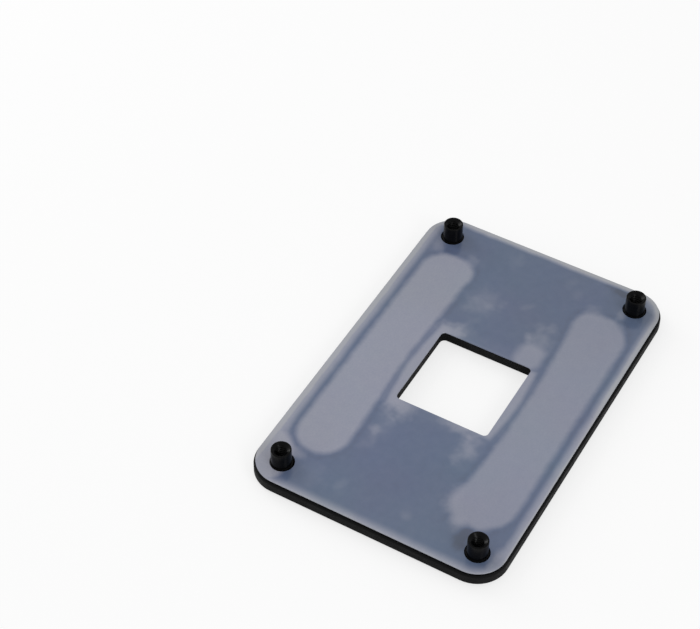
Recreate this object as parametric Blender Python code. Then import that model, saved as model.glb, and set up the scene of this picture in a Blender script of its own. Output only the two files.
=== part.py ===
"""Cooler backplate for a processor socket.

A thick steel plate with two long pressed beads and a square window carries four clinched, internally
threaded studs at its corners. A thin insulating film covers the face that the studs stand out of.

Units are metres. X runs along the plate, Y across it, and +Z points out of the film side. The origin is at the
middle of the plate, level with the two beads that the part stands on.
"""
import math

import bmesh
import bpy

# Stud pattern, centre to centre.
STUD_SPACING_X = 0.0900
STUD_SPACING_Y = 0.0540

# Steel plate. The margins run from a stud's centre to the plate's edge.
PLATE_THICKNESS = 0.0030
PLATE_MARGIN_X = 0.0070
PLATE_MARGIN_Y = 0.0075
PLATE_CORNER_RADIUS = 0.0084
PLATE_ROLLED_EDGE = 0.0006
PLATE_BACK_EDGE = 0.0002

# Square window in the middle of the plate.
WINDOW_SIZE = 0.0262
WINDOW_CORNER_RADIUS = 0.0014
WINDOW_EDGE = 0.0003

# Pressed beads: sunk on the film side, raised on the back. The lands are the flat strips left around them.
BEAD_DEPTH = 0.0009
BEAD_INNER_LAND = 0.0029
BEAD_OUTER_LAND = 0.0045
BEAD_END_LAND = 0.0013
BEAD_WALL_ANGLE = math.radians(45.0)
BEAD_LIP_RADIUS = 0.0007
BEAD_FLOOR_RADIUS = 0.0006
BEAD_BACK_SPREAD = 0.0003
BEAD_BACK_ROOT_RADIUS = 0.0004
BEAD_BACK_CROWN_RADIUS = 0.0010

# Insulating film.
FILM_THICKNESS = 0.0003
FILM_EDGE_INSET = 0.0005
FILM_WINDOW_OVERHANG = 0.0002

# Clinched stud: a hexagonal head let into the back of the plate, a neck that the plate's steel flows into, a
# shoulder that ends level with the film, and a barrel with a bore for the cooler's screw.
STUD_HEAD_ACROSS_FLATS = 0.0079
STUD_HEAD_THICKNESS = 0.0012
STUD_HEAD_CHAMFER = 0.0002
STUD_NECK_RECESS = 0.0002
STUD_NECK_HEIGHT = 0.0004
STUD_SHOULDER_DIAMETER = 0.0058
STUD_SHOULDER_CHAMFER = 0.0001
STUD_BARREL_DIAMETER = 0.0052
STUD_BARREL_HEIGHT = 0.0048
STUD_BARREL_CHAMFER = 0.0002
STUD_BORE_DIAMETER = 0.0035
STUD_BORE_CHAMFER = 0.0002

# Clearance kept between pieces that touch.
SEAT_GAP = 0.0003

# Facets: points on a quarter turn of the large outlines, and on a full turn of a stud. A stud's count is a
# multiple of six, so that its hexagon keeps its corners.
QUARTER_TURN_POINTS = 12
STUD_TURN_POINTS = 48
FILLET_STEPS = 3
SMOOTH_ANGLE = math.radians(32.0)

# Points closer than this are one point.
MERGE_DISTANCE = 1e-7

# Heights, measured from the underside of the beads.
PLATE_BACK_Z = BEAD_DEPTH
PLATE_FRONT_Z = PLATE_BACK_Z + PLATE_THICKNESS
FILM_BACK_Z = PLATE_FRONT_Z + SEAT_GAP
FILM_FRONT_Z = FILM_BACK_Z + FILM_THICKNESS
STUD_TOP_Z = FILM_FRONT_Z + STUD_BARREL_HEIGHT

# Half sizes and radii that follow from the values above.
PLATE_HALF_X = STUD_SPACING_X / 2 + PLATE_MARGIN_X
PLATE_HALF_Y = STUD_SPACING_Y / 2 + PLATE_MARGIN_Y
HEAD_POCKET_APOTHEM = STUD_HEAD_ACROSS_FLATS / 2 + SEAT_GAP
HEAD_POCKET_REACH = HEAD_POCKET_APOTHEM / math.cos(math.pi / 6)
STUD_HOLE_RADIUS = STUD_SHOULDER_DIAMETER / 2 + SEAT_GAP
HEAD_POCKET_ROOF_Z = PLATE_BACK_Z + STUD_HEAD_THICKNESS + SEAT_GAP
BEAD_INNER_Y = WINDOW_SIZE / 2 + BEAD_INNER_LAND
BEAD_OUTER_Y = PLATE_HALF_Y - BEAD_OUTER_LAND
BEAD_HALF_WIDTH = (BEAD_OUTER_Y - BEAD_INNER_Y) / 2
BEAD_CENTRE_Y = (BEAD_OUTER_Y + BEAD_INNER_Y) / 2
BEAD_HALF_LENGTH = STUD_SPACING_X / 2 - HEAD_POCKET_REACH - BEAD_END_LAND

STUD_PLACES = {
    "stud_far_left": (STUD_SPACING_X / 2, STUD_SPACING_Y / 2),
    "stud_far_right": (STUD_SPACING_X / 2, -STUD_SPACING_Y / 2),
    "stud_near_left": (-STUD_SPACING_X / 2, STUD_SPACING_Y / 2),
    "stud_near_right": (-STUD_SPACING_X / 2, -STUD_SPACING_Y / 2),
}


def clear_scene():
    """Remove whatever the file opened with."""
    for thing in list(bpy.data.objects):
        bpy.data.objects.remove(thing, do_unlink=True)


def rounded_outline(half_x, half_y, radius, centre=(0.0, 0.0)):
    """Points of a rectangle with round corners; a radius of half its width gives round ends."""
    corners = ((1, 1, 0.0), (-1, 1, 0.5), (-1, -1, 1.0), (1, -1, 1.5))
    points = []
    for side_x, side_y, start in corners:
        for step in range(QUARTER_TURN_POINTS + 1):
            angle = math.pi * (start + 0.5 * step / QUARTER_TURN_POINTS)
            x = centre[0] + side_x * (half_x - radius) + radius * math.cos(angle)
            y = centre[1] + side_y * (half_y - radius) + radius * math.sin(angle)
            if not points or math.dist(points[-1], (x, y)) > MERGE_DISTANCE:
                points.append((x, y))
    if math.dist(points[0], points[-1]) < MERGE_DISTANCE:
        points.pop()
    return points


def round_points(radius, centre=(0.0, 0.0)):
    """Points of a circle, with a stud's number of facets."""
    turn = [2 * math.pi * step / STUD_TURN_POINTS for step in range(STUD_TURN_POINTS)]
    return [(centre[0] + radius * math.cos(a), centre[1] + radius * math.sin(a)) for a in turn]


def hexagon_points(apothem, centre=(0.0, 0.0)):
    """Points of a regular hexagon, at the same angles as round_points."""
    points = []
    for step in range(STUD_TURN_POINTS):
        angle = 2 * math.pi * step / STUD_TURN_POINTS
        from_flat = (angle % (math.pi / 3)) - math.pi / 6
        reach = apothem / math.cos(from_flat)
        points.append((centre[0] + reach * math.cos(angle), centre[1] + reach * math.sin(angle)))
    return points


def add_ring(mesh, points, height):
    """A ring of vertices at one height."""
    return [mesh.verts.new((x, y, height)) for x, y in points]


def bridge_rings(mesh, rings, closed=False):
    """Faces between each ring and the next, and from the last to the first where the skin is closed."""
    pairs = list(zip(rings, rings[1:]))
    if closed:
        pairs.append((rings[-1], rings[0]))
    for lower, upper in pairs:
        count = len(lower)
        for i in range(count):
            j = (i + 1) % count
            mesh.faces.new((lower[i], lower[j], upper[j], upper[i]))


def fill_plane(mesh, loops):
    """A flat face bounded by the first loop, with the other loops as holes in it."""
    edges = []
    for loop in loops:
        for start, end in zip(loop, loop[1:] + loop[:1]):
            edges.append(mesh.edges.get((start, end)))
    bmesh.ops.triangle_fill(mesh, edges=edges, use_beauty=True, use_dissolve=False)


def fillet_steps(radius):
    """Inset and drop along a quarter-round edge, from the flat face to the wall."""
    steps = []
    for step in range(FILLET_STEPS + 1):
        angle = math.pi / 2 * step / FILLET_STEPS
        steps.append((radius * (1 - math.sin(angle)), radius * (1 - math.cos(angle))))
    return steps


def wall_stations(front_radius, back_radius, front_z, back_z):
    """Inset and height down a wall whose front edge is rounded and whose back edge is chamfered."""
    stations = [(inset, front_z - drop) for inset, drop in fillet_steps(front_radius)]
    stations.append((0.0, back_z + back_radius))
    stations.append((back_radius, back_z))
    return stations


def bead_stations(start_radius, end_radius, top_z):
    """Inset and height down a bead's sloping wall: a bend, a straight slope and the opposite bend."""
    bend_drop = (start_radius + end_radius) * (1 - math.cos(BEAD_WALL_ANGLE))
    slope_drop = max(BEAD_DEPTH - bend_drop, 0.0)
    scale = min(1.0, BEAD_DEPTH / bend_drop)
    stations = []
    for step in range(FILLET_STEPS + 1):
        angle = BEAD_WALL_ANGLE * step / FILLET_STEPS
        radius = start_radius * scale
        stations.append((radius * math.sin(angle), top_z - radius * (1 - math.cos(angle))))
    run = start_radius * scale * math.sin(BEAD_WALL_ANGLE) + slope_drop / math.tan(BEAD_WALL_ANGLE)
    run_end = run + end_radius * scale * math.sin(BEAD_WALL_ANGLE)
    for step in range(FILLET_STEPS + 1):
        angle = BEAD_WALL_ANGLE * (1 - step / FILLET_STEPS)
        radius = end_radius * scale
        height = top_z - BEAD_DEPTH + radius * (1 - math.cos(angle))
        if step or slope_drop > MERGE_DISTANCE:
            stations.append((run_end - radius * math.sin(angle), height))
    return stations


def outline_skin(mesh, half_x, half_y, radius, stations, centre=(0.0, 0.0), outward=False):
    """Rings of a rounded outline through its stations; outward is for a hole, whose edges open up."""
    sign = -1.0 if outward else 1.0
    rings = []
    for inset, height in stations:
        shift = sign * inset
        points = rounded_outline(half_x - shift, half_y - shift, radius - shift, centre)
        rings.append(add_ring(mesh, points, height))
    bridge_rings(mesh, rings)
    return rings[0], rings[-1]


def finish_object(name, mesh, material, location=(0.0, 0.0, 0.0)):
    """Turn a bmesh into a named object with its faces out and its round parts shaded smooth."""
    bmesh.ops.recalc_face_normals(mesh, faces=mesh.faces)
    data = bpy.data.meshes.new(name)
    mesh.to_mesh(data)
    mesh.free()
    data.materials.append(material)
    data.shade_smooth()
    data.set_sharp_from_angle(angle=SMOOTH_ANGLE)
    return place_object(name, data, location)


def place_object(name, data, location):
    """Put a mesh in the scene under a name."""
    thing = bpy.data.objects.new(name, data)
    thing.location = location
    bpy.context.scene.collection.objects.link(thing)
    return thing


def make_material(name, color, roughness, metallic):
    """A Principled material."""
    material = bpy.data.materials.new(name)
    material.use_nodes = True
    shader = material.node_tree.nodes["Principled BSDF"]
    shader.inputs["Base Color"].default_value = (*color, 1.0)
    shader.inputs["Roughness"].default_value = roughness
    shader.inputs["Metallic"].default_value = metallic
    material.diffuse_color = (*color, 1.0)
    return material


def make_plate(material):
    """The pressed steel plate: outline, window, beads and the stepped holes for the studs."""
    mesh = bmesh.new()
    edge = wall_stations(PLATE_ROLLED_EDGE, PLATE_BACK_EDGE, PLATE_FRONT_Z, PLATE_BACK_Z)
    outer = outline_skin(mesh, PLATE_HALF_X, PLATE_HALF_Y, PLATE_CORNER_RADIUS, edge)
    front_loops = [outer[0]]
    back_loops = [outer[1]]

    edge = wall_stations(WINDOW_EDGE, WINDOW_EDGE, PLATE_FRONT_Z, PLATE_BACK_Z)
    window = outline_skin(mesh, WINDOW_SIZE / 2, WINDOW_SIZE / 2, WINDOW_CORNER_RADIUS, edge, outward=True)
    front_loops.append(window[0])
    back_loops.append(window[1])

    sunk = bead_stations(BEAD_LIP_RADIUS, BEAD_FLOOR_RADIUS, PLATE_FRONT_Z)
    raised = bead_stations(BEAD_BACK_ROOT_RADIUS, BEAD_BACK_CROWN_RADIUS, PLATE_BACK_Z)
    back_half_length = BEAD_HALF_LENGTH + BEAD_BACK_SPREAD
    back_half_width = BEAD_HALF_WIDTH + BEAD_BACK_SPREAD
    for side in (1, -1):
        centre = (0.0, side * BEAD_CENTRE_Y)
        lip, floor = outline_skin(mesh, BEAD_HALF_LENGTH, BEAD_HALF_WIDTH, BEAD_HALF_WIDTH, sunk, centre)
        fill_plane(mesh, [floor])
        front_loops.append(lip)
        root, crown = outline_skin(mesh, back_half_length, back_half_width, back_half_width, raised, centre)
        fill_plane(mesh, [crown])
        back_loops.append(root)

    for centre in STUD_PLACES.values():
        rings = [
            add_ring(mesh, round_points(STUD_HOLE_RADIUS, centre), PLATE_FRONT_Z),
            add_ring(mesh, round_points(STUD_HOLE_RADIUS, centre), HEAD_POCKET_ROOF_Z),
            add_ring(mesh, hexagon_points(HEAD_POCKET_APOTHEM, centre), HEAD_POCKET_ROOF_Z),
            add_ring(mesh, hexagon_points(HEAD_POCKET_APOTHEM, centre), PLATE_BACK_Z),
        ]
        bridge_rings(mesh, rings)
        front_loops.append(rings[0])
        back_loops.append(rings[-1])

    fill_plane(mesh, front_loops)
    fill_plane(mesh, back_loops)
    return finish_object("backing_plate", mesh, material)


def make_film(material):
    """The die-cut insulating film, with its window and a clearance hole round each stud's shoulder."""
    mesh = bmesh.new()
    stations = [(0.0, FILM_FRONT_Z), (0.0, FILM_BACK_Z)]
    half_x = PLATE_HALF_X - FILM_EDGE_INSET
    half_y = PLATE_HALF_Y - FILM_EDGE_INSET
    loops = [outline_skin(mesh, half_x, half_y, PLATE_CORNER_RADIUS - FILM_EDGE_INSET, stations)]

    half_window = WINDOW_SIZE / 2 - FILM_WINDOW_OVERHANG
    radius = WINDOW_CORNER_RADIUS - FILM_WINDOW_OVERHANG
    loops.append(outline_skin(mesh, half_window, half_window, radius, stations))

    for centre in STUD_PLACES.values():
        rings = [add_ring(mesh, round_points(STUD_HOLE_RADIUS, centre), z) for z in (FILM_FRONT_Z, FILM_BACK_Z)]
        bridge_rings(mesh, rings)
        loops.append(rings)

    fill_plane(mesh, [loop[0] for loop in loops])
    fill_plane(mesh, [loop[1] for loop in loops])
    return finish_object("insulator_film", mesh, material)


def stud_rings(mesh):
    """Rings round the whole skin of a stud, from the bore's back mouth up the outside and down the bore."""
    head_top = STUD_HEAD_THICKNESS
    neck_top = head_top + STUD_NECK_HEIGHT
    shoulder_top = FILM_FRONT_Z - PLATE_BACK_Z
    top = STUD_TOP_Z - PLATE_BACK_Z
    apothem = STUD_HEAD_ACROSS_FLATS / 2
    shoulder = STUD_SHOULDER_DIAMETER / 2
    neck = shoulder - STUD_NECK_RECESS
    barrel = STUD_BARREL_DIAMETER / 2
    bore = STUD_BORE_DIAMETER / 2
    mouth = bore + STUD_BORE_CHAMFER
    rings = [
        add_ring(mesh, round_points(mouth), 0.0),
        add_ring(mesh, hexagon_points(apothem - STUD_HEAD_CHAMFER), 0.0),
        add_ring(mesh, hexagon_points(apothem), STUD_HEAD_CHAMFER),
        add_ring(mesh, hexagon_points(apothem), head_top),
    ]
    turned = [
        (neck, head_top),
        (neck, neck_top),
        (shoulder, neck_top),
        (shoulder, shoulder_top - STUD_SHOULDER_CHAMFER),
        (shoulder - STUD_SHOULDER_CHAMFER, shoulder_top),
        (barrel, shoulder_top),
        (barrel, top - STUD_BARREL_CHAMFER),
        (barrel - STUD_BARREL_CHAMFER, top),
        (mouth, top),
        (bore, top - STUD_BORE_CHAMFER),
        (bore, STUD_BORE_CHAMFER),
    ]
    rings += [add_ring(mesh, round_points(radius), height) for radius, height in turned]
    return rings


def make_studs(material):
    """Four equal studs that share one mesh, each set in its own hole from the back of the plate."""
    data = None
    studs = []
    for name, (x, y) in STUD_PLACES.items():
        place = (x, y, PLATE_BACK_Z)
        if data is None:
            mesh = bmesh.new()
            bridge_rings(mesh, stud_rings(mesh), closed=True)
            studs.append(finish_object(name, mesh, material, place))
            data = studs[0].data
        else:
            studs.append(place_object(name, data, place))
    return studs


def build():
    """Make every piece and hang it from one empty at the origin."""
    clear_scene()
    steel = make_material("black_painted_steel", (0.012, 0.012, 0.013), 0.55, 0.0)
    film = make_material("milky_blue_film", (0.130, 0.155, 0.225), 0.30, 0.0)
    plating = make_material("black_plated_steel", (0.010, 0.010, 0.011), 0.28, 0.6)
    pieces = [make_plate(steel), make_film(film)]
    pieces += make_studs(plating)
    origin = bpy.data.objects.new("backplate_origin", None)
    bpy.context.scene.collection.objects.link(origin)
    for piece in pieces:
        piece.parent = origin


build()
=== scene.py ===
"""Finished looks of a cooler backplate for a processor socket.

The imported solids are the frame. The plate keeps its solid and gets a painted finish. The insulating film
and the four studs are replaced by finer meshes at the same places: a film with its cut edge and the slight
relief of what lies under it, and turned studs with rounded edges and a real thread.

Units are metres. X runs along the plate and Y across it, and +Z points out of the film side. Near is -X,
far is +X, left is +Y and right is -Y.
"""
import math

import bmesh
import bpy
import numpy as np
from mathutils import Matrix, Vector
from mathutils.geometry import delaunay_2d_cdt


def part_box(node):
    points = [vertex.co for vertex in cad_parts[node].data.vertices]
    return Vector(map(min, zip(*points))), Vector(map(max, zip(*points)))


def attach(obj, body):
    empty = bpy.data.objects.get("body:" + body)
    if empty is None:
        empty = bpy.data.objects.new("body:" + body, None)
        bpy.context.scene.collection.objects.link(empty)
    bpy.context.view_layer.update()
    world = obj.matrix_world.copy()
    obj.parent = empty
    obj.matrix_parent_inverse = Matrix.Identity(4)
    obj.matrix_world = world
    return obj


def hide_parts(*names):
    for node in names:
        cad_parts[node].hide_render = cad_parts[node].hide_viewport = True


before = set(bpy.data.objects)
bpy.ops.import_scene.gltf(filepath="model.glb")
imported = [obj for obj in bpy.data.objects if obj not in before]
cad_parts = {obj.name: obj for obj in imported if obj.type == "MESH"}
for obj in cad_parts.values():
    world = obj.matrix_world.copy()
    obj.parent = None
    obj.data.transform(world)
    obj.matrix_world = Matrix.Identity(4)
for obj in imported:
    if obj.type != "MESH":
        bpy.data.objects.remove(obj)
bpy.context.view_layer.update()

MM = 0.001

# Camera: the photograph's viewing angle and framing.
CAMERA_AZIMUTH = math.radians(-60.577)
CAMERA_ELEVATION = math.radians(47.395)
CAMERA_ROLL = math.radians(0.605)
CAMERA_DISTANCE = 506.07 * MM
CAMERA_LENS_MM = 99.244
CAMERA_SENSOR_MM = 36.0
CAMERA_AIM_X = 5.853 * MM
CAMERA_AIM_Y = 36.833 * MM
CAMERA_CLIP_START = 0.01
CAMERA_CLIP_END = 20.0

# The film's corners, window and stud holes, and how finely it is meshed. Its outer size and the places of
# the holes come from the frame.
FILM_CORNER_RADIUS = 7.9 * MM
FILM_WINDOW_SIZE = 25.8 * MM
FILM_WINDOW_RADIUS = 1.2 * MM
FILM_HOLE_DIAMETER = 6.25 * MM
FILM_CUT_ROUNDING = 0.05 * MM
FILM_GRID_SPACING = 0.8 * MM
FILM_CORNER_POINTS = 24
FILM_WINDOW_CORNER_POINTS = 8
FILM_HOLE_POINTS = 48

# How far the film's grid points stay from its edges, as a share of their spacing, and how near two points
# may be before they are taken as one.
FILM_GRID_CLEARANCE = 0.6
FILM_POINT_TOLERANCE = 1e-9

# How far a stud hole in the film sits off its stud, for the holes that aren't cut quite in line.
FILM_HOLE_SHIFTS = {
    "stud_near_left": (0.09 * MM, -0.16 * MM),
    "stud_far_left": (-0.05 * MM, 0.09 * MM),
}

# Noise patterns are given by their features per metre, how many finer layers they have, and how strong those
# are where that isn't 0.5. Most of a pattern's values lie in this range, round this middle.
NOISE_RANGE = (0.3, 0.7)
NOISE_MIDDLE = (0.5, 0.5, 0.5)

# A fade is given by where it starts, where it ends, and its levels there.

# How the edges of areas are made irregular: features per metre, finer layers and how far the edge is pushed.
BEAD_WARP = (330.0, 3.0, 1.0 * MM)
EDGE_WARP = (130.0, 3.0, 0.9 * MM)
WINDOW_WARP = (150.0, 3.0, 0.8 * MM)
LOOSE_WARP = (170.0, 1.0, 1.8 * MM)

# Light areas over the beads. The inner edge is an arch, whose top is at the middle of the plate and which
# falls towards the ends. Bulges are given as centre and reach.
BEAD_AREAS = (
    {
        "side": 1.0,
        "middle": 0.0,
        "half_length": 38.65 * MM,
        "inner": 15.9 * MM,
        "outer": 29.62 * MM,
        "arch_top": 16.7 * MM,
        "arch_fall": 3.3 * MM,
        "cloudiness": 1.0,
        "bulges": (
            ((33.3 * MM, 18.5 * MM), (3.9 * MM, 3.3 * MM)),
            ((36.5 * MM, 20.2 * MM), (1.5 * MM, 1.8 * MM)),
        ),
    },
    {
        "side": -1.0,
        "middle": -0.2 * MM,
        "half_length": 38.1 * MM,
        "inner": 15.1 * MM,
        "outer": 30.15 * MM,
        "arch_top": 16.6 * MM,
        "arch_fall": 2.35 * MM,
        "cloudiness": 0.81,
        "bulges": (
            ((-33.4 * MM, -18.6 * MM), (5.4 * MM, 4.2 * MM)),
            ((-38.4 * MM, -18.9 * MM), (1.7 * MM, 1.4 * MM)),
            ((-37.6 * MM, -23.2 * MM), (1.7 * MM, 2.6 * MM)),
            ((33.9 * MM, -19.0 * MM), (4.2 * MM, 4.0 * MM)),
            ((36.6 * MM, -23.0 * MM), (2.0 * MM, 3.4 * MM)),
        ),
    },
)

# How softly the arch and the bulges join the rest, and the distances from an area's outline between which it
# fades in.
BEAD_ARCH_BLEND = 1.0 * MM
BEAD_BULGE_BLEND = 2.5 * MM
BEAD_FADE_START = 0.945 * MM
BEAD_FADE_END = -1.155 * MM

# The film is pressed down tightly along the rim of each bead, which shows as a dark line: how much darker,
# how far out its middle lies, and its half width.
PRESSED_DARKNESS = 0.06
PRESSED_MIDDLE = 1.2 * MM
PRESSED_REACH = 1.2 * MM

# Light bands between the window and the beads: the side of the plate, middle, half length, height and radius
# of the arch that ends them towards the bead, and cloudiness. A strong band lies in a wider faint one.
WINDOW_BANDS = (
    (1.0, -0.2 * MM, 15.4 * MM, 15.6 * MM, 83.0 * MM, 1.03),
    (1.0, -0.2 * MM, 15.5 * MM, 17.0 * MM, 200.0 * MM, 0.25),
    (-1.0, -0.55 * MM, 12.75 * MM, 15.35 * MM, 72.0 * MM, 0.95),
    (-1.0, -0.6 * MM, 11.0 * MM, 16.5 * MM, 200.0 * MM, 0.16),
)
WINDOW_BAND_CENTRE = 14.3 * MM
WINDOW_BAND_HALF_WIDTH = 3.7 * MM
WINDOW_BAND_CORNER = 2.0 * MM
WINDOW_BAND_SOFTNESS = 1.0 * MM

# Faint light rings round the window, by the distance to it.
WINDOW_RING_CORNER = 1.0 * MM
WINDOW_RINGS = (
    (1.6 * MM, 0.1 * MM, 0.0, 0.17),
    (4.5 * MM, 1.5 * MM, 0.0, 0.08),
)

# Light bands along the long sides, by the distance from a line that lies a little off the plate's middle: a
# broad rise and a brighter crest on it.
EDGE_LINE_SHIFT = 0.5 * MM
EDGE_RISE = (30.7 * MM, 32.9 * MM, 0.0, 1.0)
EDGE_CREST = (32.85 * MM, 33.7 * MM, 0.0, 0.80)

# The band round the film's rim, by the distance to its edge. Where it starts and where it would be full both
# move from the near half of the plate to the far half, so that it gets narrower and stronger.
RIM_START = (-20.0 * MM, 20.0 * MM, -2.9 * MM, -2.3 * MM)
RIM_FULL = (-20.0 * MM, 20.0 * MM, 1.1 * MM, -0.5 * MM)
RIM_CLOUDINESS = 1.5

# Colours of the film by its cloudiness: pressed down tightly, which also colours the spots of painted shade
# by the studs, just touching the plate, over a bead, and where its edge has lifted.
FILM_COLORS = (
    (-0.20, (0.074, 0.092, 0.150)),
    (0.0, (0.095, 0.128, 0.214)),
    (1.0, (0.269, 0.283, 0.356)),
    (1.5, (0.370, 0.377, 0.416)),
)

# Painted shade: what the film's colour is multiplied by at the far end, where it is darker by how the light
# falls, and where that starts and is complete.
FAR_SHADE = (0.938, 0.946, 0.932, 1.0)
FAR_SHADE_START = -5.0 * MM
FAR_SHADE_END = 38.0 * MM

# Puffs where a little air is caught under the film, and two spots of painted shade by the right-hand studs,
# whose cloudiness is below 0: centre, reach, turn in degrees, and cloudiness.
PUFFS_AND_SHADE_SPOTS = (
    # At the ends of the beads' light areas.
    ((-39.8 * MM, -18.8 * MM), (3.4 * MM, 2.8 * MM), 20.0, 0.42),
    ((-33.6 * MM, -14.4 * MM), (5.6 * MM, 2.6 * MM), 0.0, 0.42),
    ((39.2 * MM, 18.2 * MM), (2.6 * MM, 2.4 * MM), 0.0, 0.35),
    ((38.2 * MM, -18.2 * MM), (3.6 * MM, 3.4 * MM), -40.0, 0.35),
    # On the near half, mostly by the window.
    ((-13.8 * MM, 10.4 * MM), (6.2 * MM, 4.8 * MM), 20.0, 0.88),
    ((-13.0 * MM, -5.4 * MM), (3.2 * MM, 6.4 * MM), 0.0, 0.75),
    ((-14.4 * MM, -9.6 * MM), (3.2 * MM, 4.6 * MM), 0.0, 0.36),
    ((-19.2 * MM, -10.8 * MM), (3.4 * MM, 3.0 * MM), 0.0, 0.46),
    ((-22.6 * MM, -9.0 * MM), (2.8 * MM, 1.9 * MM), 15.0, 0.30),
    ((-18.0 * MM, -10.8 * MM), (7.6 * MM, 4.2 * MM), 0.0, 0.22),
    ((-37.4 * MM, -15.0 * MM), (2.2 * MM, 1.6 * MM), 30.0, 0.32),
    ((-17.4 * MM, 12.8 * MM), (2.6 * MM, 2.4 * MM), 0.0, 0.38),
    # On the far half, mostly by the window.
    ((13.2 * MM, 11.2 * MM), (5.0 * MM, 5.0 * MM), 0.0, 0.84),
    ((16.0 * MM, 8.0 * MM), (4.0 * MM, 3.4 * MM), 0.0, 0.22),
    ((22.0 * MM, -10.2 * MM), (6.4 * MM, 4.4 * MM), 0.0, 0.42),
    ((21.0 * MM, -7.0 * MM), (3.6 * MM, 1.6 * MM), 10.0, 0.30),
    ((26.0 * MM, -8.8 * MM), (3.4 * MM, 2.2 * MM), 15.0, 0.12),
    ((28.5 * MM, -11.5 * MM), (2.4 * MM, 1.6 * MM), 20.0, 0.20),
    # Fainter ones further out.
    ((-24.5 * MM, 12.2 * MM), (2.2 * MM, 2.0 * MM), 0.0, 0.36),
    ((-24.0 * MM, 11.4 * MM), (6.6 * MM, 3.6 * MM), 0.0, 0.16),
    ((-27.6 * MM, 11.0 * MM), (2.4 * MM, 1.6 * MM), 30.0, 0.12),
    ((-30.2 * MM, 12.8 * MM), (2.6 * MM, 1.8 * MM), 0.0, 0.14),
    ((-21.5 * MM, 10.4 * MM), (4.6 * MM, 2.4 * MM), -20.0, 0.14),
    ((26.7 * MM, 6.8 * MM), (1.4 * MM, 3.0 * MM), -10.0, 0.26),
    ((25.4 * MM, 10.6 * MM), (4.0 * MM, 3.4 * MM), 0.0, 0.14),
    ((30.0 * MM, 9.6 * MM), (3.2 * MM, 3.4 * MM), 0.0, 0.15),
    ((28.4 * MM, 3.8 * MM), (3.4 * MM, 1.6 * MM), 10.0, 0.13),
    ((26.6 * MM, 8.8 * MM), (7.2 * MM, 6.8 * MM), 0.0, 0.24),
    ((31.8 * MM, -2.4 * MM), (3.6 * MM, 1.6 * MM), -40.0, 0.16),
    ((-44.4 * MM, -7.0 * MM), (2.2 * MM, 1.9 * MM), 0.0, 0.20),
    ((-44.0 * MM, 10.8 * MM), (3.4 * MM, 2.4 * MM), 0.0, 0.16),
    ((-45.0 * MM, 18.5 * MM), (5.0 * MM, 5.0 * MM), 0.0, 0.14),
    ((45.5 * MM, 7.6 * MM), (4.0 * MM, 2.6 * MM), 0.0, 0.14),
    ((42.0 * MM, -12.0 * MM), (3.0 * MM, 2.2 * MM), 0.0, 0.13),
    ((45.0 * MM, -8.6 * MM), (3.0 * MM, 2.0 * MM), 0.0, 0.10),
    # By the studs.
    ((-40.4 * MM, 26.0 * MM), (2.8 * MM, 4.0 * MM), -20.0, 0.55),
    ((-35.4 * MM, 30.9 * MM), (3.6 * MM, 1.4 * MM), 0.0, 0.45),
    ((-44.2 * MM, -32.0 * MM), (6.6 * MM, 1.8 * MM), -8.0, 0.66),
    # Painted shade by the near right stud.
    ((-43.4 * MM, -22.2 * MM), (4.6 * MM, 2.9 * MM), 0.0, -0.30),
    ((48.8 * MM, -31.4 * MM), (6.6 * MM, 4.4 * MM), 45.0, 0.52),
    # Painted shade by the far right stud.
    ((49.6 * MM, -21.4 * MM), (2.2 * MM, 4.6 * MM), 0.0, -0.36),
    ((41.4 * MM, -24.8 * MM), (2.8 * MM, 1.8 * MM), 0.0, 0.40),
    ((40.2 * MM, 29.0 * MM), (3.4 * MM, 2.8 * MM), 30.0, 0.38),
)

# How a puff breaks up: a pattern and what it adds to the distance from the puff's middle, in reaches, and
# the distances at which the puff starts and is at its densest.
PUFF_PATTERN = (380.0, 1.0)
PUFF_BREAKUP = (0.25, 0.75, -0.22, 0.22)
PUFF_FADE_START = 1.12
PUFF_FADE_END = 0.05

# Larger light areas: centre, reach, corner radius, softness of the edge and cloudiness.
OPEN_AREAS = (
    # By the window's corner towards the far right stud.
    ((16.2 * MM, -10.2 * MM), (4.2 * MM, 3.6 * MM), 3.0 * MM, 1.5 * MM, 0.80),
    # The corner of the film by the near left stud.
    ((-45.4 * MM, 32.7 * MM), (9.0 * MM, 7.2 * MM), 7.0 * MM, 1.1 * MM, 1.14),
)

# A soft mottle that is added to the cloudiness, and a fine grain that it is multiplied by.
MOTTLE_PATTERN = (420.0, 4.0, 0.6)
MOTTLE_LEVELS = (-0.03, 0.05)
GRAIN_PATTERN = (1900.0, 2.0, 0.6)
GRAIN_LEVELS = (-0.06, 0.06)

# Surface of the film: a slight change of tint, its gloss, and waves with a fine grain on them.
FILM_TINT_PATTERN = (55.0, 3.0)
FILM_TINT = (0.30, 0.36, 0.5)
FILM_TINT_SHARE = 0.06
FILM_ROUGHNESS = 0.20
FILM_SPECULAR = 0.9
FILM_WAVE_PATTERN = (140.0, 3.0)
FILM_GRAIN_PATTERN = (9000.0, 2.0)
FILM_GRAIN_SHARE = 0.05
FILM_BUMP_HEIGHT = 0.05 * MM
FILM_BUMP_STRENGTH = 0.5

# Black paint on the plate.
PAINT_COLORS = ((0.0015, 0.0015, 0.0018, 1.0), (0.006, 0.006, 0.0065, 1.0))
PAINT_GRAIN_PATTERN = (5000.0, 3.0, 0.6)
PAINT_BLOTCH_PATTERN = (300.0, 3.0)
PAINT_ROUGHNESS = (0.5, 0.62)
PAINT_SPECULAR = 0.10
PAINT_BUMP_HEIGHT = 0.04 * MM
PAINT_BUMP_STRENGTH = 0.6

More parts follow.
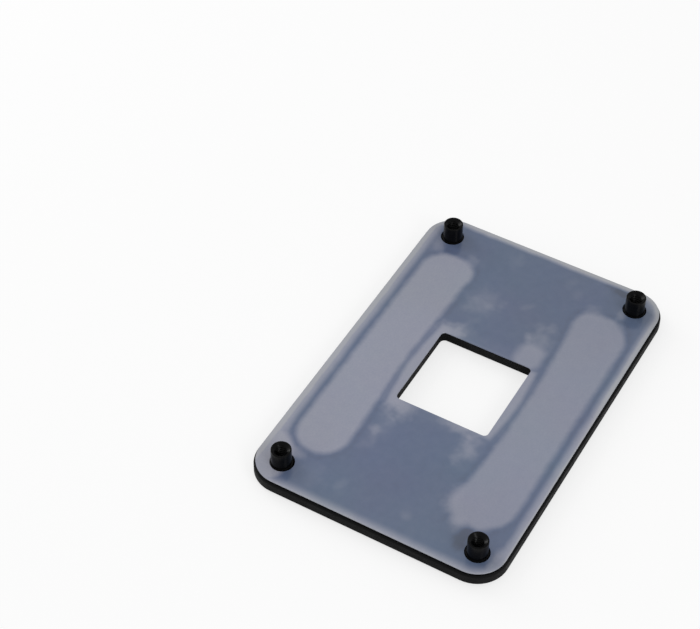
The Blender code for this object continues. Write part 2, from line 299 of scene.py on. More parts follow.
# Black plating on the studs. The pattern of its tool lines is stretched out sideways, so they run round.
PLATING_COLORS = ((0.0008, 0.0008, 0.001, 1.0), (0.003, 0.003, 0.0034, 1.0))
PLATING_LINE_PATTERN = (12000.0, 2.0)
PLATING_LINE_STRETCH = (0.15, 0.15, 1.0)
PLATING_SMUDGE_PATTERN = (700.0, 3.0)
PLATING_ROUGHNESS = (0.18, 0.30)
PLATING_SPECULAR = 0.11
PLATING_BUMP_HEIGHT = 0.008 * MM
PLATING_BUMP_STRENGTH = 0.5

# Relief of the film: it dips a little into the beads and lifts a little along its edges.
BEAD_DIP = 0.07 * MM
EDGE_LIFT = 0.05 * MM
EDGE_LIFT_WIDTH = 2.5 * MM
RELIEF_BLEND = 1.6 * MM

# Beads under the film.
BEAD_CENTRE_Y = 23.0 * MM
BEAD_HALF_LENGTH = 38.8 * MM
BEAD_HALF_WIDTH = 7.0 * MM

# Studs.
STUD_HEAD_ACROSS_FLATS = 7.9 * MM
STUD_HEAD_THICKNESS = 1.2 * MM
STUD_HEAD_CHAMFER = 0.2 * MM
STUD_NECK_DIAMETER = 5.4 * MM
STUD_NECK_HEIGHT = 0.4 * MM
STUD_SHOULDER_DIAMETER = 5.8 * MM
STUD_BARREL_DIAMETER = 5.2 * MM
STUD_BARREL_ROUNDING = 0.2 * MM
STUD_EDGE_ROUNDING = 0.06 * MM
STUD_MOUTH_DIAMETER = 4.5 * MM
STUD_MOUTH_ANGLE = math.radians(37.0)
STUD_MOUTH_ROUNDING = 0.10 * MM
STUD_TURN_POINTS = 96
ROUNDING_STEPS = 4
MOUTH_STEPS = 8

# Thread in the studs' bores. Half the flat of its root, and where its crest starts, are in pitches from the
# middle of the root.
THREAD_MAJOR_DIAMETER = 3.5 * MM
THREAD_MINOR_DIAMETER = 2.85 * MM
THREAD_PITCH = 0.794 * MM
THREAD_ROOT_FLAT = 1 / 16
THREAD_CREST_START = 3 / 8
THREAD_ROW_HEIGHT = 0.07 * MM

# Edges sharper than this stay sharp, and points nearer than this are one.
SMOOTH_ANGLE = math.radians(30.0)
WELD_DISTANCE = 0.001 * MM

WHITE = (1.0, 1.0, 1.0, 1.0)

# The floor. Where it is seen, this share of its look is a plain white glow.
FLOOR_HALF_SIZE = 4.0
FLOOR_COLOR = (0.92, 0.92, 0.92, 1.0)
FLOOR_ROUGHNESS = 0.9
FLOOR_GLOW_SHARE = 0.72

# The world's levels: where it lights the object, where it is mirrored, and where it is seen.
WORLD_LIGHT = 0.75
WORLD_MIRRORED = 0.55
WORLD_SEEN = 1.0

# Square lamps that point at the middle of the plate: name, place, side and watts.
LAMPS = (
    ("lamp_left", (0.16, 0.66, 0.44), 0.45, 1.4),
    ("lamp_right", (-0.25, -0.60, 0.50), 0.25, 1.0),
    ("lamp_low", (0.185, 0.707, 0.171), 0.18, 0.45),
)


class Graph:
    """The node tree of a material or a world, with one short call for each kind of node."""

    def __init__(self, owner, shader):
        owner.use_nodes = True
        self.tree = owner.node_tree
        self.shader = self.tree.nodes[shader]

    def feed(self, socket, value):
        """Link a socket to another node's output, or set its value."""
        if isinstance(value, bpy.types.NodeSocket):
            self.tree.links.new(value, socket)
        else:
            socket.default_value = value

    def add(self, kind, *values, **settings):
        """A node of a kind, with its settings made and its first inputs fed."""
        node = self.tree.nodes.new(kind)
        for name, value in settings.items():
            setattr(node, name, value)
        for socket, value in zip(node.inputs, values):
            self.feed(socket, value)
        return node

    def set(self, **values):
        """Values set on the shader itself, named as its sockets are, with _ for a space."""
        for name, value in values.items():
            self.feed(self.shader.inputs[name.replace("_", " ")], value)

    def math(self, operation, *values):
        """The result of an operation on numbers."""
        return self.add("ShaderNodeMath", *values, operation=operation).outputs[0]

    def vector(self, operation, *values):
        """The result of an operation on vectors."""
        return self.add("ShaderNodeVectorMath", *values, operation=operation).outputs["Vector"]

    def length(self, vector):
        """The length of a vector."""
        return self.add("ShaderNodeVectorMath", vector, operation="LENGTH").outputs["Value"]

    def split(self, position):
        """The X and the Y of a position."""
        parts = self.add("ShaderNodeSeparateXYZ", position).outputs
        return parts["X"], parts["Y"]

    def rescale(self, value, start, end, low=0.0, high=1.0, smooth=True):
        """A value that goes from low to high between start and end, and stays level beyond them."""
        node = self.add("ShaderNodeMapRange", interpolation_type="SMOOTHSTEP" if smooth else "LINEAR")
        names = ("Value", "From Min", "From Max", "To Min", "To Max")
        for name, item in zip(names, (value, start, end, low, high)):
            self.feed(node.inputs[name], item)
        return node.outputs["Result"]

    def strongest(self, values):
        """The largest of several numbers."""
        result = values[0]
        for value in values[1:]:
            result = self.math("MAXIMUM", result, value)
        return result

    def rays(self, *kinds):
        """1 for rays of these kinds and 0 for the others."""
        path = self.add("ShaderNodeLightPath")
        return self.strongest([path.outputs[f"Is {kind} Ray"] for kind in kinds])


class MaterialGraph(Graph):
    """A new material and its node tree."""

    def __init__(self, name):
        self.material = bpy.data.materials.new(name)
        super().__init__(self.material, "Principled BSDF")
        self.position = self.add("ShaderNodeTexCoord").outputs["Object"]

    def noise(self, density, layers, strength=0.5, position=None, output="Fac"):
        """A noise pattern, as a number from 0 to 1 or, with the output Color, as three of them."""
        node = self.add("ShaderNodeTexNoise")
        node.inputs["Scale"].default_value = density
        node.inputs["Detail"].default_value = layers
        node.inputs["Roughness"].default_value = strength
        self.feed(node.inputs["Vector"], self.position if position is None else position)
        return node.outputs[output]

    def mix(self, share, first, second):
        """A colour between two others."""
        node = self.add("ShaderNodeMix", data_type="RGBA")
        inputs = {socket.identifier: socket for socket in node.inputs}
        outputs = {socket.identifier: socket for socket in node.outputs}
        self.feed(inputs["Factor_Float"], share)
        self.feed(inputs["A_Color"], first)
        self.feed(inputs["B_Color"], second)
        return outputs["Result_Color"]

    def ramp(self, value, stops):
        """A colour read from (place, colour) stops, the first at 0 and the last at 1."""
        node = self.add("ShaderNodeValToRGB", value)
        elements = node.color_ramp.elements
        while len(elements) < len(stops):
            elements.new(0.5)
        for element, (place, color) in zip(elements, stops):
            element.position = place
            element.color = (*color, 1.0)
        return node.outputs["Color"]

    def bump(self, height, distance, strength):
        """Tilt the surface by a height field."""
        node = self.add("ShaderNodeBump")
        node.inputs["Strength"].default_value = strength
        node.inputs["Distance"].default_value = distance
        self.feed(node.inputs["Height"], height)
        self.set(Normal=node.outputs["Normal"])


def rounded_box_distance(graph, position, centre, half_x, half_y, radius):
    """Distance to a rectangle with round corners, negative inside it."""
    offset = graph.vector("SUBTRACT", position, (*centre, 0.0))
    folded = graph.vector("ABSOLUTE", offset)
    beyond = graph.vector("SUBTRACT", folded, (half_x - radius, half_y - radius, 0.0))
    outside = graph.length(graph.vector("MAXIMUM", beyond, (0.0, 0.0, 0.0)))
    inside = graph.math("MINIMUM", graph.math("MAXIMUM", *graph.split(beyond)), 0.0)
    return graph.math("SUBTRACT", graph.math("ADD", outside, inside), radius)


def ellipse_distance(graph, position, centre, reach):
    """Rough distance to an ellipse, negative inside it."""
    offset = graph.vector("DIVIDE", graph.vector("SUBTRACT", position, (*centre, 0.0)), (*reach, 1.0))
    away = graph.math("SUBTRACT", graph.length(offset), 1.0)
    return graph.math("MULTIPLY", away, min(reach))


def warped(graph, position, density, layers, amount):
    """A position pushed about by noise, which makes the edge of an area irregular."""
    cloud = graph.noise(density, layers, position=position, output="Color")
    push = graph.vector("SUBTRACT", cloud, NOISE_MIDDLE)
    push = graph.vector("MULTIPLY", push, (amount, amount, 0.0))
    return graph.vector("ADD", position, push)


def bead_distance(graph, position, area):
    """Distance to a bead's light area: a long round-ended shape, cut back by the arch, with its bulges."""
    side = area["side"]
    half_length = area["half_length"]
    half_width = (area["outer"] - area["inner"]) / 2
    centre = (area["middle"], side * (area["outer"] + area["inner"]) / 2)
    shape = rounded_box_distance(graph, position, centre, half_length, half_width, half_width)
    along, across = graph.split(position)
    share = graph.math("DIVIDE", along, half_length)
    share_squared = graph.math("MULTIPLY", share, share)
    arch = graph.math("MULTIPLY_ADD", share_squared, -area["arch_fall"], area["arch_top"])
    beyond = graph.math("SUBTRACT", arch, graph.math("MULTIPLY", across, side))
    distance = graph.math("SMOOTH_MAX", shape, beyond, BEAD_ARCH_BLEND)
    for bulge in area["bulges"]:
        bulge_distance = ellipse_distance(graph, position, *bulge)
        distance = graph.math("SMOOTH_MIN", distance, bulge_distance, BEAD_BULGE_BLEND)
    return distance


def bead_areas(graph, position):
    """Cloudiness over the beads, and how far a point lies from the nearest of them."""
    distances = [bead_distance(graph, position, area) for area in BEAD_AREAS]
    levels = [
        graph.rescale(distance, BEAD_FADE_START, BEAD_FADE_END, 0.0, area["cloudiness"])
        for distance, area in zip(distances, BEAD_AREAS)
    ]
    return graph.strongest(levels), graph.math("MINIMUM", *distances)


def edge_bands(graph, flat, half_x, half_y):
    """Cloudiness where the film stands off along its long sides and round its rim."""
    wavy = warped(graph, flat, *EDGE_WARP)
    along, across = graph.split(wavy)
    across = graph.math("ABSOLUTE", graph.math("ADD", across, EDGE_LINE_SHIFT))
    rise = graph.rescale(across, *EDGE_RISE)
    crest = graph.rescale(across, *EDGE_CREST, smooth=False)
    inside = rounded_box_distance(graph, wavy, (0.0, 0.0), half_x, half_y, FILM_CORNER_RADIUS)
    start = graph.rescale(along, *RIM_START)
    full = graph.rescale(along, *RIM_FULL)
    rim = graph.rescale(inside, start, full, 0.0, RIM_CLOUDINESS)
    return [graph.math("ADD", rise, crest), rim]


def window_band(graph, wavy, side, middle, half_length, arch_top, arch_radius, cloudiness):
    """Cloudiness of one band: a rectangle that ends in an arch towards the bead."""
    centre = (middle, side * WINDOW_BAND_CENTRE)
    box = rounded_box_distance(graph, wavy, centre, half_length, WINDOW_BAND_HALF_WIDTH, WINDOW_BAND_CORNER)
    along, across = graph.split(wavy)
    along_squared = graph.math("MULTIPLY", along, along)
    arch = graph.math("MULTIPLY_ADD", along_squared, -0.5 / arch_radius, arch_top)
    beyond = graph.math("SUBTRACT", graph.math("MULTIPLY", across, side), arch)
    distance = graph.math("SMOOTH_MAX", box, beyond, WINDOW_BAND_SOFTNESS)
    return graph.rescale(distance, WINDOW_BAND_SOFTNESS, -WINDOW_BAND_SOFTNESS, 0.0, cloudiness)


def window_areas(graph, flat):
    """Cloudiness between the window and the beads, and round the window."""
    wavy = warped(graph, flat, *WINDOW_WARP)
    half = FILM_WINDOW_SIZE / 2
    near = rounded_box_distance(graph, wavy, (0.0, 0.0), half, half, WINDOW_RING_CORNER)
    bands = [window_band(graph, wavy, *values) for values in WINDOW_BANDS]
    return bands + [graph.rescale(near, *ring) for ring in WINDOW_RINGS]


def open_areas(graph, position):
    """Cloudiness of the larger light areas."""
    levels = []
    for centre, reach, radius, softness, cloudiness in OPEN_AREAS:
        distance = rounded_box_distance(graph, position, centre, *reach, radius)
        levels.append(graph.rescale(distance, softness, -softness, 0.0, cloudiness))
    return levels


def puff(graph, position, breakup, centre, reach, turn, cloudiness):
    """A cloud that is densest in the middle of an ellipse and breaks up towards its rim; with cloudiness
    below 0 it is a spot of painted shade.
    """
    node = graph.add("ShaderNodeMapping", position, vector_type="TEXTURE")
    node.inputs["Location"].default_value = (*centre, 0.0)
    node.inputs["Rotation"].default_value = (0.0, 0.0, math.radians(turn))
    node.inputs["Scale"].default_value = (*reach, 1.0)
    away = graph.math("ADD", graph.length(node.outputs[0]), breakup)
    return graph.rescale(away, PUFF_FADE_START, PUFF_FADE_END, 0.0, cloudiness)


def haze_and_painted_shade(graph, position, flat):
    """The puffs, all together, and the spots of painted shade by the studs."""
    cloud = graph.noise(*PUFF_PATTERN, position=flat)
    breakup = graph.rescale(cloud, *PUFF_BREAKUP, smooth=False)
    haze = 0.0
    for values in PUFFS_AND_SHADE_SPOTS:
        haze = graph.math("ADD", haze, puff(graph, position, breakup, *values))
    return haze


def textured(graph, flat, cloudiness):
    """Cloudiness with the mottle added, and the grain on it."""
    mottle = graph.noise(*MOTTLE_PATTERN, position=flat)
    mottle = graph.rescale(mottle, *NOISE_RANGE, *MOTTLE_LEVELS, smooth=False)
    cloudiness = graph.math("ADD", cloudiness, mottle)
    grain = graph.noise(*GRAIN_PATTERN, position=flat)
    grain = graph.rescale(grain, *NOISE_RANGE, *GRAIN_LEVELS, smooth=False)
    return graph.math("MULTIPLY_ADD", grain, cloudiness, cloudiness)


def film_cloudiness(graph, half_x, half_y):
    """How milky the film looks: 0 where it touches the plate, 1 over a bead, more at a lifted edge, and less
    at the spots of painted shade by the studs.
    """
    flat = graph.vector("MULTIPLY", graph.position, (1.0, 1.0, 0.0))
    ragged = warped(graph, flat, *BEAD_WARP)
    loose = warped(graph, flat, *LOOSE_WARP)
    over_beads, away = bead_areas(graph, ragged)
    others = edge_bands(graph, flat, half_x, half_y) + window_areas(graph, flat) + open_areas(graph, loose)
    areas = graph.strongest([over_beads] + others)

    room = graph.math("SUBTRACT", 1.0, graph.math("MINIMUM", areas, 1.0))
    hazy_with_painted_shade = graph.math("MULTIPLY_ADD", haze_and_painted_shade(graph, loose, flat), room, areas)
    off_line = graph.math("ABSOLUTE", graph.math("SUBTRACT", away, PRESSED_MIDDLE))
    pressed = graph.rescale(off_line, PRESSED_REACH, 0.0)
    return textured(graph, flat, graph.math("MULTIPLY_ADD", pressed, -PRESSED_DARKNESS, hazy_with_painted_shade))


def film_color(graph, half_x, half_y):
    """The film's colour by its cloudiness, a little varied in tint, with painted shade that darkens it
    towards the far end.
    """
    lowest, highest = FILM_COLORS[0][0], FILM_COLORS[-1][0]
    place = graph.rescale(film_cloudiness(graph, half_x, half_y), lowest, highest, smooth=False)
    stops = [((level - lowest) / (highest - lowest), color) for level, color in FILM_COLORS]
    tint = graph.vector("MULTIPLY", graph.noise(*FILM_TINT_PATTERN, output="Color"), FILM_TINT)
    color = graph.mix(FILM_TINT_SHARE, graph.ramp(place, stops), tint)
    # Painted shade: darker towards the far end.
    along, _ = graph.split(graph.position)
    far = graph.rescale(along, FAR_SHADE_START, FAR_SHADE_END)
    return graph.vector("MULTIPLY", color, graph.mix(far, WHITE, FAR_SHADE))


def make_film_material(half_x, half_y):
    """Milky film: dark and bluish where it touches the plate, pale grey where it stands off."""
    graph = MaterialGraph("milky_film")
    graph.set(Base_Color=film_color(graph, half_x, half_y))
    graph.set(Roughness=FILM_ROUGHNESS, Specular_IOR_Level=FILM_SPECULAR)
    grain = graph.math("MULTIPLY", graph.noise(*FILM_GRAIN_PATTERN), FILM_GRAIN_SHARE)
    waves = graph.noise(*FILM_WAVE_PATTERN)
    graph.bump(graph.math("ADD", grain, waves), FILM_BUMP_HEIGHT, FILM_BUMP_STRENGTH)
    return graph.material


def make_plate_material():
    """Black paint with a fine grain."""
    graph = MaterialGraph("black_paint")
    grain = graph.noise(*PAINT_GRAIN_PATTERN)
    blotch = graph.noise(*PAINT_BLOTCH_PATTERN)
    graph.set(Base_Color=graph.mix(grain, *PAINT_COLORS), Specular_IOR_Level=PAINT_SPECULAR)
    graph.set(Roughness=graph.rescale(blotch, *NOISE_RANGE, *PAINT_ROUGHNESS))
    graph.bump(grain, PAINT_BUMP_HEIGHT, PAINT_BUMP_STRENGTH)
    return graph.material


def make_stud_material():
    """Black plating over turned steel, with fine tool lines round it."""
    graph = MaterialGraph("black_plating")
    stretched = graph.vector("MULTIPLY", graph.position, PLATING_LINE_STRETCH)
    lines = graph.noise(*PLATING_LINE_PATTERN, position=stretched)
    smudge = graph.noise(*PLATING_SMUDGE_PATTERN)
    graph.set(Base_Color=graph.mix(smudge, *PLATING_COLORS), Specular_IOR_Level=PLATING_SPECULAR)
    graph.set(Roughness=graph.rescale(smudge, *NOISE_RANGE, *PLATING_ROUGHNESS))
    graph.bump(lines, PLATING_BUMP_HEIGHT, PLATING_BUMP_STRENGTH)
    return graph.material


def add_object(name, data):
    """Put an object with this data in the scene."""
    thing = bpy.data.objects.new(name, data)
    bpy.context.scene.collection.objects.link(thing)
    return thing


def finished_mesh(mesh, name, material):
    """Turn an edited mesh into a closed piece's data, smooth where it is round."""
    bmesh.ops.recalc_face_normals(mesh, faces=mesh.faces)
    data = bpy.data.meshes.new(name)
    mesh.to_mesh(data)
    mesh.free()
    data.materials.append(material)
    data.shade_smooth()
    data.set_sharp_from_angle(angle=SMOOTH_ANGLE)
    return data


def bridge_rings(mesh, rings):
    """Faces between each closed ring and the next."""
    for lower, upper in zip(rings, rings[1:]):
        count = len(lower)
        for i in range(count):
            j = (i + 1) % count
            mesh.faces.new((lower[i], lower[j], upper[j], upper[i]))


def rounded_outline(half_x, half_y, radius, corner_points):
    """Points of a rectangle with round corners, anticlockwise."""
    points = []
    for side_x, side_y, start in ((1, 1, 0.0), (-1, 1, 0.5), (-1, -1, 1.0), (1, -1, 1.5)):
        for step in range(corner_points + 1):
            angle = math.pi * (start + 0.5 * step / corner_points)
            x = side_x * (half_x - radius) + radius * math.cos(angle)
            y = side_y * (half_y - radius) + radius * math.sin(angle)
            points.append((x, y))
    return points


def subdivided(points, spacing):
    """A closed outline with extra points on its long straight stretches."""
    result = []
    for start, end in zip(points, points[1:] + points[:1]):
        parts = max(1, round(math.dist(start, end) / spacing))
        for step in range(parts):
            share = step / parts
            x = start[0] + share * (end[0] - start[0])
            y = start[1] + share * (end[1] - start[1])
            result.append((x, y))
    return result


def circle(radius, centre, count):
    """Points of a circle, anticlockwise."""
    turns = [2 * math.pi * step / count for step in range(count)]
    return [(centre[0] + radius * math.cos(turn), centre[1] + radius * math.sin(turn)) for turn in turns]


def box_distance(x, y, centre, half_x, half_y, radius):
    """Distance of points to a rectangle with round corners, negative inside it."""
    across = np.abs(x - centre[0]) - (half_x - radius)
    along = np.abs(y - centre[1]) - (half_y - radius)
    outside = np.hypot(np.maximum(across, 0.0), np.maximum(along, 0.0))
    return outside + np.minimum(np.maximum(across, along), 0.0) - radius


def blend_in(distance, width):
    """0 outside an outline, rising smoothly to 1 over a width inside it."""
    share = np.clip(-distance / width, 0.0, 1.0)
    return share * share * (3 - 2 * share)


def film_relief(x, y, half_x, half_y):
    """Height of the film above its flat level."""
    height = np.zeros_like(x)
    for side in (1, -1):
        centre = (0.0, side * BEAD_CENTRE_Y)
        bead = box_distance(x, y, centre, BEAD_HALF_LENGTH, BEAD_HALF_WIDTH, BEAD_HALF_WIDTH)
        height -= BEAD_DIP * blend_in(bead, RELIEF_BLEND)
    rim = box_distance(x, y, (0.0, 0.0), half_x, half_y, FILM_CORNER_RADIUS)
    height += EDGE_LIFT * (1 - blend_in(rim, EDGE_LIFT_WIDTH))
    return height


def film_loops(half_x, half_y, hole_places, inset):
    """The film's outline, window and stud holes, each drawn back from the cut by an inset."""
    outer = rounded_outline(half_x - inset, half_y - inset, FILM_CORNER_RADIUS - inset, FILM_CORNER_POINTS)
    half = FILM_WINDOW_SIZE / 2 + inset
    window = rounded_outline(half, half, FILM_WINDOW_RADIUS + inset, FILM_WINDOW_CORNER_POINTS)
    radius = FILM_HOLE_DIAMETER / 2 + inset
    holes = [circle(radius, place, FILM_HOLE_POINTS) for place in hole_places]
    return [subdivided(outer, FILM_GRID_SPACING), subdivided(window, FILM_GRID_SPACING)] + holes


def film_hole_distance(x, y, hole_places):
    """Distance of points to the nearest hole in the film, negative inside it."""
    half = FILM_WINDOW_SIZE / 2
    nearest = box_distance(x, y, (0.0, 0.0), half, half, FILM_WINDOW_RADIUS)
    for place in hole_places:
        nearest = np.minimum(nearest, np.hypot(x - place[0], y - place[1]) - FILM_HOLE_DIAMETER / 2)
    return nearest


def film_grid(half_x, half_y, hole_places):
    """Points of an even triangular grid on the film, clear of its edges."""
    step = FILM_GRID_SPACING
    rows = []
    for index, y in enumerate(np.arange(-half_y, half_y, step * math.sqrt(0.75))):
        x = np.arange(-half_x + (index % 2) * step / 2, half_x, step)
        rows.append(np.column_stack([x, np.full_like(x, y)]))
    grid = np.concatenate(rows)
    x, y = grid.T
    clearance = FILM_GRID_CLEARANCE * step
    clear = box_distance(x, y, (0.0, 0.0), half_x, half_y, FILM_CORNER_RADIUS) < -clearance
    clear &= film_hole_distance(x, y, hole_places) > clearance
    return [tuple(point) for point in grid[clear]]


def triangulate(loops, inner):
    """Points and triangles inside the first loop. The loops' points come first, then the inner points."""
    points, edges = [], []
    for loop in loops:
        start = len(points)
        count = len(loop)
        points += loop
        edges += [(start + i, start + (i + 1) % count) for i in range(count)]
    points += inner
    inside_only = 1
    vectors = [Vector(point) for point in points]
    result = delaunay_2d_cdt(vectors, edges, [], inside_only, FILM_POINT_TOLERANCE)
    return np.array(result[0]), np.array(result[2])


def raised(mesh, points, heights):
    """New corners of a mesh above flat points."""
    return [mesh.verts.new((*point, height)) for point, height in zip(points, heights)]


def make_film_mesh(low, high, hole_places, material):
    """The film: a fine top and underside that follow the relief, and a rounded cut edge between them."""
    half_x, half_y = high.x, high.y
    top_loops = film_loops(half_x, half_y, hole_places, FILM_CUT_ROUNDING)
    side_loops = film_loops(half_x, half_y, hole_places, 0.0)
    points, faces = triangulate(top_loops, film_grid(half_x, half_y, hole_places))
    middles = points[faces].mean(axis=1)
    faces = faces[film_hole_distance(*middles.T, hole_places) >= FILM_CUT_ROUNDING]
    relief = film_relief(*points.T, half_x, half_y)
    mesh = bmesh.new()
    top = raised(mesh, points, high.z + relief)
    under = raised(mesh, points, low.z + relief)
    for face in faces:
        mesh.faces.new([top[i] for i in face])
        mesh.faces.new([under[i] for i in reversed(face)])
    start = 0
    for side_loop in side_loops:
        part = slice(start, start + len(side_loop))
        upper = raised(mesh, side_loop, high.z - FILM_CUT_ROUNDING + relief[part])
        lower = raised(mesh, side_loop, low.z + FILM_CUT_ROUNDING + relief[part])
        bridge_rings(mesh, [top[part], upper, lower, under[part]])
        start = part.stop
    return finished_mesh(mesh, "insulating_film", material)


def rounded_profile(corners):
    """A profile's points, with each corner (across, height, rounding) turned into a short arc."""
    result = [corners[0][:2]]
    for before, corner, after in zip(corners, corners[1:], corners[2:]):
        here, rounding = Vector(corner[:2]), corner[2]
        start = here + (Vector(before[:2]) - here).normalized() * rounding
        end = here + (Vector(after[:2]) - here).normalized() * rounding
        steps = ROUNDING_STEPS if rounding else 0
        for step in range(steps + 1):
            share = step / ROUNDING_STEPS
            first = start.lerp(here, share)
            second = here.lerp(end, share)
            result.append(tuple(first.lerp(second, share)))
    result.append(corners[-1][:2])
    return result


def hexagon(apothem, count):
    """Points of a regular hexagon, at the same angles as a circle's."""
    points = []
    for step in range(count):
        angle = 2 * math.pi * step / count
        from_flat = (angle % (math.pi / 3)) - math.pi / 6
        reach = apothem / math.cos(from_flat)
        points.append((reach * math.cos(angle), reach * math.sin(angle)))
    return points


def thread_radius(angle, height):
    """Radius of the thread at an angle and a height: a groove with flat crests that climbs as it turns."""
    turns = height / THREAD_PITCH - angle / (2 * math.pi)
    from_root = abs(turns - math.floor(turns) - 0.5)
    slope = (from_root - THREAD_ROOT_FLAT) / (THREAD_CREST_START - THREAD_ROOT_FLAT)
    depth = (THREAD_MAJOR_DIAMETER - THREAD_MINOR_DIAMETER) / 2
    return THREAD_MAJOR_DIAMETER / 2 - depth * min(max(slope, 0.0), 1.0)


def mouth_profile():
    """Radius and depth down the bore's mouth: a rounded lip, then a cone that ends inside the thread."""
    rounding = STUD_MOUTH_ROUNDING
    lip = STUD_MOUTH_DIAMETER / 2
    stations = []
    for step in range(1, MOUTH_STEPS + 1):
        angle = STUD_MOUTH_ANGLE * step / MOUTH_STEPS
        stations.append((lip - rounding * math.sin(angle), rounding * (1 - math.cos(angle))))
    radius, depth = stations[-1]
    run = radius - THREAD_MINOR_DIAMETER / 2
    for step in range(1, MOUTH_STEPS + 1):
        share = step / MOUTH_STEPS
        stations.append((radius - run * share, depth + run * share * math.tan(STUD_MOUTH_ANGLE)))
    return stations


def bore_ring(clear, height):
    """One ring of the bore: the thread, or the radius kept clear where that is larger."""
    points = []
    for step in range(STUD_TURN_POINTS):
        angle = 2 * math.pi * step / STUD_TURN_POINTS
        radius = max(thread_radius(angle, height), clear)
        points.append((radius * math.cos(angle), radius * math.sin(angle), height))
    return points


def bore_rings(length):
    """Rings of the bore from the top down: its mouth, the thread, and the same mouth at the other end."""
    mouth = mouth_profile()
    depth = mouth[-1][1]
    threaded = length - 2 * depth
    rows = round(threaded / THREAD_ROW_HEIGHT)
    stations = [(radius, length - down) for radius, down in mouth]
    stations += [(0.0, length - (depth + threaded * row / rows)) for row in range(1, rows)]
    stations += [(radius, down) for radius, down in reversed(mouth)]
    return [bore_ring(clear, height) for clear, height in stations]


def head_profile():
    """The stud's hexagonal head, by its half width and height, from the flat of it up to the neck."""
    mouth = STUD_MOUTH_DIAMETER / 2
    apothem = STUD_HEAD_ACROSS_FLATS / 2
    edge = STUD_EDGE_ROUNDING
    return rounded_profile([
        (mouth + edge, 0.0, 0.0),
        (apothem - STUD_HEAD_CHAMFER, 0.0, edge),
        (apothem, STUD_HEAD_CHAMFER, edge),
        (apothem, STUD_HEAD_THICKNESS, edge),
        (apothem - 2 * edge, STUD_HEAD_THICKNESS, 0.0),
    ])[1:]


def turned_profile(length, film_level):
    """The stud's neck, shoulder and barrel, by radius and height, from the head up to the bore's mouth."""
    neck = STUD_NECK_DIAMETER / 2
    neck_top = STUD_HEAD_THICKNESS + STUD_NECK_HEIGHT
    shoulder = STUD_SHOULDER_DIAMETER / 2
    barrel = STUD_BARREL_DIAMETER / 2
    edge = STUD_EDGE_ROUNDING
    return rounded_profile([
        (neck + edge, STUD_HEAD_THICKNESS, 0.0),
        (neck, STUD_HEAD_THICKNESS, 0.0),
        (neck, neck_top, edge),
        (shoulder, neck_top, edge),
        (shoulder, film_level, edge),
        (barrel, film_level, edge),
        (barrel, length, STUD_BARREL_ROUNDING),
        (STUD_MOUTH_DIAMETER / 2, length, 0.0),
    ])


def turned_ring(radius, height):
    """One ring round the stud's middle."""
    return [(*point, height) for point in circle(radius, (0.0, 0.0), STUD_TURN_POINTS)]


def make_stud_mesh(length, film_level, material):
    """A stud from the flat of its head, which lies at height 0, to its top."""
    rings = []
    for across, height in head_profile():
        rings.append([(*point, height) for point in hexagon(across, STUD_TURN_POINTS)])
    rings += [turned_ring(radius, height) for radius, height in turned_profile(length, film_level)]
    rings += bore_rings(length)
    rings.append(turned_ring(STUD_MOUTH_DIAMETER / 2, 0.0))
    mesh = bmesh.new()
    made = [[mesh.verts.new(point) for point in ring] for ring in rings]
    bridge_rings(mesh, made + [made[0]])
    return finished_mesh(mesh, "turned_stud", material)


def middle_of(node):
    """The middle of a node's box, in X and Y."""
    low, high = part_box(node)
    return (low.x + high.x) / 2, (low.y + high.y) / 2


def film_hole_place(stud):
    """The middle of the film's hole for a stud."""
    x, y = middle_of(stud)
    shift_x, shift_y = FILM_HOLE_SHIFTS.get(stud, (0.0, 0.0))
    return x + shift_x, y + shift_y


def dress_plate(plate):
    """Give the plate's solid its paint, and shade its round parts smooth with modifiers."""
    plate.data.materials.clear()
    plate.data.materials.append(make_plate_material())
    weld = plate.modifiers.new("weld", "WELD")
    weld.merge_threshold = WELD_DISTANCE
    split = plate.modifiers.new("split", "EDGE_SPLIT")
    split.split_angle = SMOOTH_ANGLE
    plate.modifiers.new("normals", "WEIGHTED_NORMAL")


def make_film(studs):
    """The film, in the place of its solid."""
    low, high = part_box("insulator_film")
    holes = [film_hole_place(stud) for stud in studs]
    mesh = make_film_mesh(low, high, holes, make_film_material(high.x, high.y))
    film = add_object("insulating_film", mesh)
    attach(film, "root")
    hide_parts("insulator_film")


def make_studs(studs):
    """The studs, each in the place of its solid and all of one mesh."""
    low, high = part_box(studs[0])
    film_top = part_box("insulator_film")[1].z
    mesh = make_stud_mesh(high.z - low.z, film_top - low.z, make_stud_material())
    for stud in studs:
        piece = add_object("turned_" + stud, mesh)
        piece.location = (*middle_of(stud), low.z)
        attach(piece, "root")
        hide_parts(stud)


def make_floor():
    """A pale floor that looks white and keeps the object's soft shadow."""
    half = FLOOR_HALF_SIZE
    data = bpy.data.meshes.new("floor")
    corners = [(-half, -half, 0.0), (half, -half, 0.0), (half, half, 0.0), (-half, half, 0.0)]
    data.from_pydata(corners, [], [(0, 1, 2, 3)])
    floor = add_object("floor", data)
    graph = MaterialGraph("pale_floor")
    graph.set(Base_Color=FLOOR_COLOR, Roughness=FLOOR_ROUGHNESS, Specular_IOR_Level=0.0)
    glow = graph.add("ShaderNodeEmission", WHITE, 1.0)
    share = graph.math("MULTIPLY", graph.rays("Camera", "Transmission"), FLOOR_GLOW_SHARE)
    blend = graph.add("ShaderNodeMixShader", share, graph.shader.outputs[0], glow.outputs[0])
    output = graph.tree.nodes["Material Output"]
    graph.feed(output.inputs["Surface"], blend.outputs[0])
    data.materials.append(graph.material)


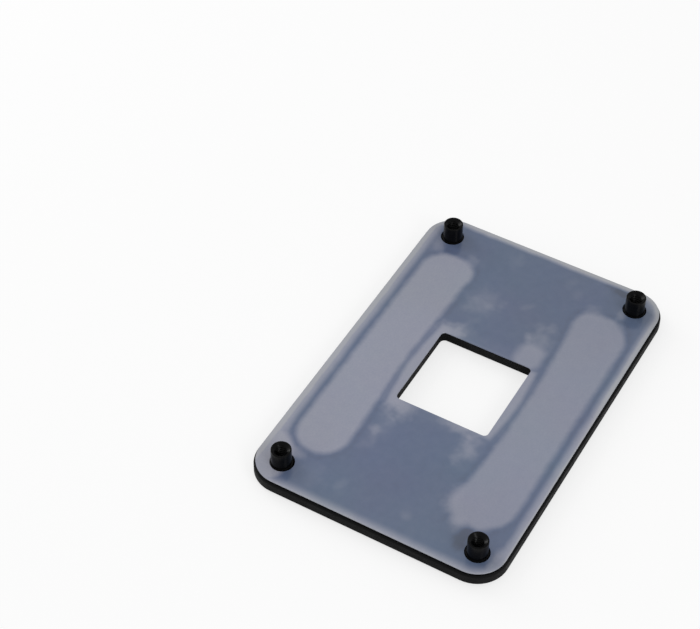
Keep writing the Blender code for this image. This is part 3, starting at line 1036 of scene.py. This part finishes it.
def make_world():
    """White where it is seen, darker where it is mirrored, and a plain light for everything else."""
    world = bpy.data.worlds.new("studio")
    bpy.context.scene.world = world
    graph = Graph(world, "Background")
    unseen = graph.rescale(graph.rays("Glossy"), 0.0, 1.0, WORLD_LIGHT, WORLD_MIRRORED, smooth=False)
    seen = graph.rays("Camera", "Transmission")
    level = graph.rescale(seen, 0.0, 1.0, unseen, WORLD_SEEN, smooth=False)
    graph.set(Color=WHITE, Strength=level)


def make_lamp(name, place, side, power):
    """A soft square lamp that points at the middle of the plate."""
    data = bpy.data.lights.new(name, "AREA")
    data.shape = "SQUARE"
    data.size = side
    data.energy = power
    lamp = add_object(name, data)
    lamp.location = place
    lamp.rotation_mode = "QUATERNION"
    lamp.rotation_quaternion = (-Vector(place)).to_track_quat("-Z", "Y")


def make_camera():
    """The photograph's camera, aimed at a point level with the film's top."""
    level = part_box("insulator_film")[1].z
    flat = math.cos(CAMERA_ELEVATION)
    back_x = math.sin(CAMERA_AZIMUTH) * flat
    back_y = -math.cos(CAMERA_AZIMUTH) * flat
    back = Vector((back_x, back_y, math.sin(CAMERA_ELEVATION)))
    data = bpy.data.cameras.new("camera")
    data.lens = CAMERA_LENS_MM
    data.sensor_width = CAMERA_SENSOR_MM
    data.clip_start = CAMERA_CLIP_START
    data.clip_end = CAMERA_CLIP_END
    camera = add_object("camera", data)
    camera.location = Vector((CAMERA_AIM_X, CAMERA_AIM_Y, level)) + CAMERA_DISTANCE * back
    upright = (-back).to_track_quat("-Z", "Y").to_matrix().to_4x4()
    camera.rotation_mode = "QUATERNION"
    camera.rotation_quaternion = (upright @ Matrix.Rotation(CAMERA_ROLL, 4, "Z")).to_quaternion()
    bpy.context.scene.camera = camera


def build():
    """Dress the frame, and set up the floor, the light and the camera."""
    studs = sorted(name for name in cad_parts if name.startswith("stud_"))
    dress_plate(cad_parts["backing_plate"])
    make_film(studs)
    make_studs(studs)
    make_floor()
    make_world()
    for lamp in LAMPS:
        make_lamp(*lamp)
    make_camera()
    bpy.context.scene.view_settings.view_transform = "Standard"


build()
